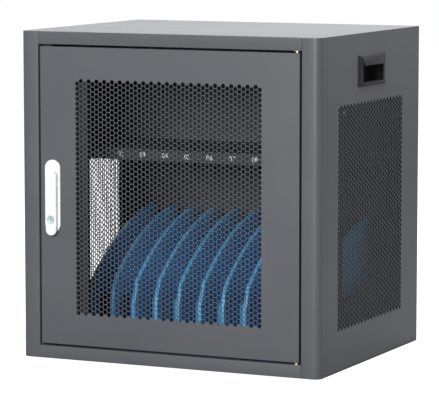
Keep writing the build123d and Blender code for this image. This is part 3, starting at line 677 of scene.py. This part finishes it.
@dataclass
class CarryHandle:
    """Moulded handle let into the side: bevelled frame, hood over the fingers and a cup."""

    bevel_run: float = 7.6 * MM
    rise: float = 2.4 * MM
    wall: float = 2.0 * MM
    pocket_length: float = 65.0 * MM
    pocket_height: float = 20.5 * MM
    pocket_lift: float = 4.5 * MM
    hood_length: float = 74.0 * MM
    hood_height: float = 12.5 * MM
    hood_taper: float = 7.6 * MM
    edge: float = 0.5 * MM

    def build(self) -> None:
        """Builds the right handle and mirrors it to the left."""
        low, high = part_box("carry_handle_right")
        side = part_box("side_panel_right")[1].x
        mid = (low.y + high.y) / 2
        body = plate("carry_insert_right", (side, low.y, low.z), (side + self.rise, high.y, high.z))
        with shaping(body):
            pick(body, Part.FACES, lambda face: face.normal.x > 0.9)
            bpy.ops.transform.resize(value=(1, 1 - 2 * self.bevel_run / (high.y - low.y),
                                            1 - 2 * self.wall / (high.z - low.z)))
        hood_top = high.z - self.wall
        hood_out = high.x - side
        hood = plate("hood", (side, mid - self.hood_length / 2, hood_top - self.hood_height),
                     (side + hood_out, mid + self.hood_length / 2, hood_top))
        with shaping(hood):
            pick(hood, Part.POINTS, lambda point: point.co.z > hood_top - MM and point.co.x > side + MM)
            bpy.ops.transform.translate(value=(self.rise - hood_out, 0, 0))
            for way in (-1, 1):
                pick(hood, Part.POINTS, lambda point: point.co.z < hood_top - MM
                     and (point.co.y - mid) * way > 0)
                bpy.ops.transform.translate(value=(0, -way * self.hood_taper, 0))
        base = low.z + self.pocket_lift
        half = self.pocket_length / 2
        roof = base + self.pocket_height + self.hood_height - 2 * self.wall
        cup = plate("cup", (low.x, mid - half - self.wall, base - self.wall),
                    (side + self.wall / 2, mid + half + self.wall, roof + self.wall))
        cut(body, hood, "UNION")
        cut(body, cup, "UNION")
        room = plate("room", (low.x + self.wall, mid - half, base), (side, mid + half, roof))
        mouth = plate("mouth", (side - MM, mid - half, base),
                      (high.x + MM, mid + half, base + self.pocket_height))
        cut(room, mouth, "UNION")
        cut(body, room)
        soft_edges(body, self.edge)
        smooth(body, 40)
        left = copied(body, "carry_insert_left", flip=True)
        smooth(left, 40)
        HANDLE_PLASTIC.cover(body, "cabinet", "carry_handle_right")
        HANDLE_PLASTIC.cover(left, "cabinet", "carry_handle_left")


@dataclass
class SideWalls:
    """Both perforated sides, their carry handles and the screws of the inner cheeks."""

    columns: int = 39
    rows: int = 44
    field_front: float = 52.0 * MM
    field_width: float = 206.0 * MM
    field_low: float = 46.7 * MM
    field_height: float = 269.0 * MM
    cup_ends: float = 12.0 * MM
    cup_below: float = 3.0 * MM
    cup_above: float = 5.0 * MM

    def build(self) -> None:
        """Builds the right side with its gap for the handle's cup, and mirrors it."""
        handle_low, handle_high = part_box("carry_handle_right")
        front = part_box("front_rail_top")[0].y
        gap = (handle_low.y + self.cup_ends, handle_high.y - self.cup_ends,
               handle_low.z + self.cup_below, handle_high.z - self.cup_above)
        right = PerforatedSheet("vent_side_right", "side_panel_right", self.columns, self.rows,
                                front + self.field_front + self.field_width / 2,
                                self.field_low + self.field_height / 2, gap).build()
        left = copied(right, "vent_side_left", flip=True)
        CABINET_PAINT.cover(right, "cabinet", "side_panel_right")
        CABINET_PAINT.cover(left, "cabinet", "side_panel_left")
        CarryHandle().build()


@dataclass
class Screws:
    """Pan-head screws with a cross recess."""

    radius: float = 3.5 * MM
    cheek_height: float = 2.0 * MM
    edge: float = 0.7 * MM
    recess: float = 1.0 * MM
    cross: tuple[float, float] = (0.55, 0.16)

    def head(self, name: str, centre: Vector, height: float) -> bpy.types.Object:
        """Models one head that looks along +Y, its flat side at the centre.

        Args:
            name: Name of the piece.
            centre: Middle of the flat side, in metres.
            height: Height of the head.

        Returns:
            The head.
        """
        head = bar(name, centre + Vector((0, height / 2, 0)), self.radius, height, UPRIGHT_TO_FRONT, 24)
        bevel(head, lambda edge: lies_at(edge, 1, centre.y + height), self.edge, 3)
        for shares in (self.cross, self.cross[::-1]):
            wide, tall = (self.radius * share for share in shares)
            slot = plate("slot", centre + Vector((-wide, height - self.recess, -tall)),
                         centre + Vector((wide, height + MM, tall)))
            cut(head, slot)
        smooth(head)
        return head

    def build(self) -> None:
        """Builds the screws of the rear sheet and of the cheeks."""
        low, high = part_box("back_screws")
        radius = self.radius
        first = self.head("rear_screw", Vector((low.x + radius, low.y, low.z + radius)), high.y - low.y)
        wide, tall = high.x - low.x - 2 * radius, high.z - low.z - 2 * radius
        others = [copied(first, "rear_screw_copy", (x, 0, z))
                  for x, z in ((wide, 0), (0, tall), (wide, tall))]
        SCREW_STEEL.cover(join([first, *others], "rear_screws"), "cabinet", "back_screws")
        low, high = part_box("cheek_screws")
        heads = []
        for way in (-1, 1):
            for depth in (low.y + radius, high.y - radius):
                head = self.head("cheek_screw", Vector((0, 0, 0)), self.cheek_height)
                head.rotation_euler.z = -way * math.pi / 2
                head.location = (way * (high.x - self.cheek_height), depth, (low.z + high.z) / 2)
                settle(head)
                heads.append(head)
        SCREW_STEEL.cover(join(heads, "cheek_screw_heads"), "cabinet", "cheek_screws")


@dataclass
class Dividers:
    """Moulded blades between the bays, with a full rounded rim and two windows."""

    count: int = 11
    rim: float = 1.9 * MM
    shoulder: float = 78.0 * MM
    peak: tuple[float, float] = (17.0 * MM, 162.0 * MM)
    bulge: float = 14.0 * MM
    straight_end: float = 16.0 * MM
    rise_steps: int = 15
    back_radius: float = 11.0 * MM
    nick: float = 6.0 * MM
    window: tuple[float, float, float, float] = (20.0 * MM, 56.0 * MM, 28.0 * MM, 64.0 * MM)
    triangle: tuple[float, float, float, float] = (111.0 * MM, 145.0 * MM, 28.0 * MM, 96.0 * MM)

    def profile(self) -> list[tuple[float, float]]:
        """Side outline of a blade as depth and height.

        Returns:
            The outline's points: up the front, along the rise, round the peak and down the back.
        """
        low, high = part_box("divider_01")
        front, back = low.y, high.y
        crest = Vector((back - self.peak[0], self.peak[1]))
        start = Vector((front, self.shoulder))
        chord = crest - start
        normal = Vector((-chord.y, chord.x)).normalized()
        points = [(front, low.z), (front, self.shoulder - self.straight_end)]
        for step in range(1, self.rise_steps):
            share = step / self.rise_steps
            point = start + chord * share + normal * (4 * self.bulge * share * (1 - share))
            points.append((max(point.x, front + 0.1 * MM), min(point.y, self.peak[1])))
        centre = Vector((back - self.back_radius, self.peak[1] - self.back_radius))
        for step in range(5):
            turn = math.radians(90 - step * 22.5)
            points.append(tuple(centre + self.back_radius * Vector((math.cos(turn), math.sin(turn)))))
        return [*points, (back, low.z)]

    def blade(self) -> bpy.types.Object:
        """Models the first blade.

        Returns:
            The blade in the place of divider_01.
        """
        low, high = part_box("divider_01")
        nick, front = self.nick, low.y
        y0, y1, z0, z1 = self.window
        window = [(y0 + nick, z0), (y1 - nick, z0), (y1, z0 + nick), (y1, z1 - nick), (y1 - nick, z1),
                  (y0 + nick, z1), (y0, z1 - nick), (y0, z0 + nick)]
        y0, y1, z0, z1 = self.triangle
        opening = [(y0, z0), (y1, z0), ((y0 + y1) / 2, z1)]
        lines = [outline("blade_01", [(low.x, y, z) for y, z in self.profile()])]
        for name, corners in (("window", window), ("opening", opening)):
            lines.append(outline(name, [(low.x, front + y, z) for y, z in corners]))
        body = join(lines, "blade_01")
        with shaping(body):
            bpy.ops.mesh.select_all(action="SELECT")
            bpy.ops.mesh.fill(use_beauty=True)
        face_out(body, (-1, 0, 0))
        thicken(body, high.x - low.x)
        soft_edges(body, self.rim, 3, 50)
        smooth(body, 40)
        return body

    def build(self) -> None:
        """Builds every blade on its slot."""
        first = self.blade()
        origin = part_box("divider_01")[0].x
        pieces = [first]
        for number in range(2, self.count + 1):
            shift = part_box(f"divider_{number:02d}")[0].x - origin
            pieces.append(copied(first, f"blade_{number:02d}", (shift, 0, 0)))
        for number, piece in enumerate(pieces, 1):
            DIVIDER_PLASTIC.cover(piece, "cabinet", f"divider_{number:02d}")
        DARK_PLASTIC.dress("divider_base")


@dataclass
class Door:
    """Perforated door with its folded frame and hinge."""

    columns: int = 47
    rows: int = 47
    spindle_gap: float = 0.3 * MM
    field_drop: float = 0.3 * MM

    def build(self) -> None:
        """Builds the door's skin and dresses its solids."""
        low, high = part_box("door_skin")
        hole_low, hole_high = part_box("lock_spindle")
        gap = (hole_low.x - self.spindle_gap, hole_high.x + self.spindle_gap,
               hole_low.z - self.spindle_gap, hole_high.z + self.spindle_gap)
        skin = PerforatedSheet("vent_door", "door_skin", self.columns, self.rows, 0.0,
                               (low.z + high.z) / 2 - self.field_drop, gap).build()
        DOOR_PAINT.cover(skin, "door", "door_skin")
        DOOR_PAINT.dress("door_frame", "hinge_brackets")
        # painted shade: the door stiffener is painted like the door but takes the near-black cheek finish,
        # standing in for the shade behind the door's left hole columns
        CHEEK_PAINT_AND_STIFFENER_SHADE.dress("door_stiffener")
        BUMPER_RUBBER.dress("door_bumpers")
        SCREW_STEEL.dress("hinge_pins", "lock_nut")


@dataclass
class Lock:
    """Swing-handle lock: recessed base, lever, key barrel and what turns behind them."""

    base_edge: float = 1.3 * MM
    pocket_side: float = 1.0 * MM
    pocket_depth: float = 1.3 * MM
    pocket_rise: float = 2.2 * MM
    pocket_runout: float = 4.0 * MM
    lever_edge: float = 1.5 * MM
    slot_half: float = 2.65 * MM
    slot_rise: float = 4.0 * MM
    slot_front: float = 1.1 * MM
    relief_angle: float = 26.0
    barrel_gap: float = 0.12 * MM
    barrel_rim: float = 1.3 * MM
    barrel_dish: float = 0.35 * MM
    key_half: tuple[float, float, float] = (0.45 * MM, 0.0, 2.2 * MM)
    key_reach: float = 6.0 * MM

    def pill(self, name: str, low: Vector, high: Vector) -> bpy.types.Object:
        """Adds an upright plate with round ends.

        Args:
            name: Name of the piece.
            low: Lowest corner.
            high: Highest corner.

        Returns:
            The plate.
        """
        radius = (high.x - low.x) / 2
        x = (low.x + high.x) / 2
        pill = bar(name, (x, (low.y + high.y) / 2, low.z + radius), radius, high.y - low.y,
                   (90, 180 / PILL_SIDES, 0), PILL_SIDES)
        with shaping(pill):
            pick(pill, Part.POINTS, lambda point: point.co.z > low.z + radius)
            bpy.ops.transform.translate(value=(0, 0, high.z - low.z - 2 * radius))
        return pill

    def base(self) -> None:
        """Builds the pill-shaped base with its recess for the lever."""
        low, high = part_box("handle_base")
        lever_low, lever_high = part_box("handle_lever")
        base = self.pill("lock_base", low, high)
        bevel(base, lambda edge: lies_at(edge, 1, low.y), self.base_edge, 4)
        pocket_low = Vector((lever_low.x - self.pocket_side, low.y - MM, low.z - self.pocket_runout))
        pocket_high = Vector((lever_high.x + self.pocket_side, low.y + self.pocket_depth,
                              lever_high.z + self.pocket_rise))
        cut(base, self.pill("pocket", pocket_low, pocket_high))
        soft_edges(base, 0.25 * MM, 2, 60)
        smooth(base, 40)
        LOCK_CHROME.cover(base, "door", "handle_base")

    def lever(self) -> None:
        """Builds the lever: bored for the barrel, slotted for the lug and relieved behind its pivot."""
        low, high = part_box("handle_lever")
        barrel_low, barrel_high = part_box("lock_barrel")
        pin_low, pin_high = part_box("lever_pin")
        lever = self.pill("lock_lever", low, high)
        bevel(lever, lambda edge: lies_at(edge, 1, low.y), self.lever_edge, 4)
        cut(lever, bar("hole", (barrel_low + barrel_high) / 2,
                       (barrel_high.x - barrel_low.x) / 2 + self.barrel_gap, 20 * MM, UPRIGHT_TO_FRONT, 40))
        x, pivot_z = (low.x + high.x) / 2, (pin_low.z + pin_high.z) / 2
        cut(lever, plate("slot", (x - self.slot_half, pin_low.y - self.slot_front, pivot_z - self.slot_rise),
                         (x + self.slot_half, high.y + MM, pivot_z + self.slot_rise)))
        width = high.x - low.x
        relief = plate("relief", (-width, 0, 0), (width, width, width))
        relief.rotation_euler.x = math.radians(self.relief_angle)
        relief.location = (x, high.y, pivot_z)
        settle(relief)
        cut(lever, relief)
        soft_edges(lever, 0.2 * MM, 2, 60)
        smooth(lever, 40)
        LOCK_CHROME.cover(lever, "lever", "handle_lever")

    def barrel(self) -> None:
        """Builds the key barrel with its dished face and key slot."""
        low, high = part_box("lock_barrel")
        centre, half = (low + high) / 2, Vector(self.key_half)
        barrel = bar("key_barrel", centre, (high.x - low.x) / 2, high.y - low.y, UPRIGHT_TO_FRONT, 40)
        with shaping(barrel):
            pick(barrel, Part.FACES, lambda face: face.normal.y < -0.9)
            bpy.ops.mesh.inset(thickness=self.barrel_rim)
            bpy.ops.transform.translate(value=(0, self.barrel_dish, 0))
        cut(barrel, plate("key", centre - half - Vector((0, self.key_reach, 0)), centre + half))
        soft_edges(barrel, 0.15 * MM, 2, 40)
        smooth(barrel, 40)
        KEY_FACE.cover(barrel, "barrel", "lock_barrel")

    def build(self) -> None:
        """Builds the lock's outer pieces and dresses the rest."""
        self.base()
        self.lever()
        self.barrel()
        SCREW_STEEL.dress("lock_spindle", "lock_cam", "cam_screw", "lever_pin")


@dataclass
class Electrics:
    """Power supply, ports, mains inlet and switch."""

    flange_edge: float = 0.6 * MM

    def flange(self, name: str, node: str, finish: Finish) -> None:
        """Eases the edges of a moulded housing that shows at the back."""
        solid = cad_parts[node]
        lone(solid)
        bpy.ops.object.duplicate(linked=False)
        piece = named(name)
        for key in [key for key in piece.keys() if key.startswith("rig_")]:
            del piece[key]
        piece.parent = None
        with shaping(piece):
            bpy.ops.mesh.select_all(action="SELECT")
            bpy.ops.mesh.remove_doubles(threshold=0.001 * MM)
            bpy.ops.mesh.dissolve_limited(angle_limit=math.radians(2))
        soft_edges(piece, self.flange_edge / 2, 2, 50)
        smooth(piece, 40)
        body = "rocker" if node == "switch_rocker" else "cabinet"
        finish.cover(piece, body, node)

    def build(self) -> None:
        """Builds the housings that show and dresses the hidden solids."""
        self.flange("inlet_housing", "mains_inlet", DARK_PLASTIC)
        self.flange("switch_frame", "switch_housing", DARK_PLASTIC)
        self.flange("rocker_key", "switch_rocker", ROCKER_PLASTIC)
        CONTACT_METAL.dress("inlet_blades")
        SUPPLY_CASE.dress("power_supply")
        CIRCUIT_BOARD.dress("charging_board")
        PORT_SHELL.dress("charging_ports")


@dataclass(frozen=True)
class Lamp:
    """Soft square light that looks at a point: places in metres, power in watts."""

    name: str
    place: tuple[float, float, float]
    aim: tuple[float, float, float]
    size: float
    power: float

    def hang(self) -> None:
        """Adds the light to the scene."""
        lone()
        bpy.ops.object.light_add(type="AREA", location=self.place)
        light = named(self.name)
        light.data.size = self.size
        light.data.energy = self.power
        light.rotation_euler = (Vector(self.aim) - Vector(self.place)).to_track_quat("-Z", "Y").to_euler()


@dataclass
class Studio:
    """White floor and backdrop, soft lights and the camera at the photograph's angle.

    Attributes:
        eye: Where the camera stands, in metres.
        yaw: Turn of the camera to the left, in degrees.
        tilt: How far the camera looks down, in degrees.
        lens: Focal length in millimetres on the frame's width.
        frame_width: Width of the camera's frame in millimetres.
        pale: Brightness of the backdrop where it is seen or mirrored.
        sky: Brightness of the light that the backdrop gives.
        floor_size: Side of the floor in metres.
        floor_drop: Gap under the cabinet's base in metres.
        floor_grey: Share of light that the floor throws back.
        floor_glow: What the camera sees added to it, so that it looks white.
        lamps: The lights.
    """

    eye: tuple[float, float, float] = (1.4106, -3.0126, 0.5630)
    yaw: float = 25.155
    tilt: float = 6.489
    lens: float = 223.02
    frame_width: float = 36.0
    pale: float = 1.0
    sky: float = 0.30
    floor_size: float = 12.0
    floor_drop: float = 0.2 * MM
    floor_grey: float = 0.22
    floor_glow: float = 0.93
    lamps: tuple[Lamp, ...] = (Lamp("front_light", (0.2, -2.7, 1.0), (0, 0, 0.3), 1.0, 76),
                               Lamp("top_light", (0.2, 0.6, 2.4), (0, 0, 0.3), 1.8, 145))

    def floor(self) -> None:
        """Lays a floor that looks white to the camera and throws little light back."""
        lone()
        bpy.ops.mesh.primitive_plane_add(size=self.floor_size, location=(0, 0, -self.floor_drop))
        floor = named("studio_floor")
        material = bpy.data.materials.new("studio_floor")
        material.use_nodes = True
        nodes, links = material.node_tree.nodes, material.node_tree.links
        shader, output = nodes["Principled BSDF"], nodes["Material Output"]
        glow, adding, mix, path = (nodes.new(f"ShaderNode{kind}") for kind in (
            "Emission", "AddShader", "MixShader", "LightPath"))
        shader.inputs["Base Color"].default_value = (*[self.floor_grey] * 3, 1)
        shader.inputs["Roughness"].default_value = 0.9
        shader.inputs["Specular IOR Level"].default_value = 0.1
        glow.inputs["Strength"].default_value = self.floor_glow
        for giver, given, taker, taken in (
                (shader, 0, adding, 0), (glow, 0, adding, 1), (path, "Is Camera Ray", mix, 0),
                (shader, 0, mix, 1), (adding, 0, mix, 2), (mix, 0, output, "Surface")):
            links.new(giver.outputs[given], taker.inputs[taken])
        floor.data.materials.append(material)

    def surroundings(self) -> None:
        """Sets a white surround that camera and gloss see, over a softer light level."""
        world = bpy.data.worlds.new("studio")
        bpy.context.scene.world = world
        world.use_nodes = True
        nodes, links = world.node_tree.nodes, world.node_tree.links
        seen, output = nodes["Background"], nodes["World Output"]
        light, mix, path, either, more = (nodes.new(f"ShaderNode{kind}") for kind in (
            "Background", "MixShader", "LightPath", "Math", "Math"))
        either.operation = more.operation = "MAXIMUM"
        for node, label, value in (
                (seen, "Color", (1, 1, 1, 1)), (seen, "Strength", self.pale),
                (light, "Color", (0.97, 0.98, 1, 1)), (light, "Strength", self.sky)):
            node.inputs[label].default_value = value
        for giver, given, taker, taken in (
                (path, "Is Camera Ray", either, 0), (path, "Is Glossy Ray", either, 1),
                (either, 0, more, 0), (path, "Is Transmission Ray", more, 1), (more, 0, mix, 0),
                (light, 0, mix, 1), (seen, 0, mix, 2), (mix, 0, output, "Surface")):
            links.new(giver.outputs[given], taker.inputs[taken])

    def camera(self) -> None:
        """Sets the camera where the photograph was taken from."""
        lone()
        bpy.ops.object.camera_add(location=self.eye,
                                  rotation=(math.radians(90 - self.tilt), 0, math.radians(self.yaw)))
        camera = named("photo_camera")
        camera.data.lens = self.lens
        camera.data.sensor_width = self.frame_width
        camera.data.clip_end = 50
        bpy.context.scene.camera = camera

    def build(self) -> None:
        """Builds the studio."""
        self.floor()
        self.surroundings()
        for lamp in self.lamps:
            lamp.hang()
        self.camera()
        bpy.context.scene.view_settings.view_transform = "Standard"


def main() -> None:
    """Builds every sub-assembly."""
    logging.basicConfig(level=logging.INFO, format="%(name)s: %(message)s")
    for assembly in (Carcass(), SideWalls(), Door(), Lock(), Dividers(), Screws(), Electrics(), Studio()):
        assembly.build()
        LOG.info("built %s", type(assembly).__name__)


if __name__ == "__main__":
    main()
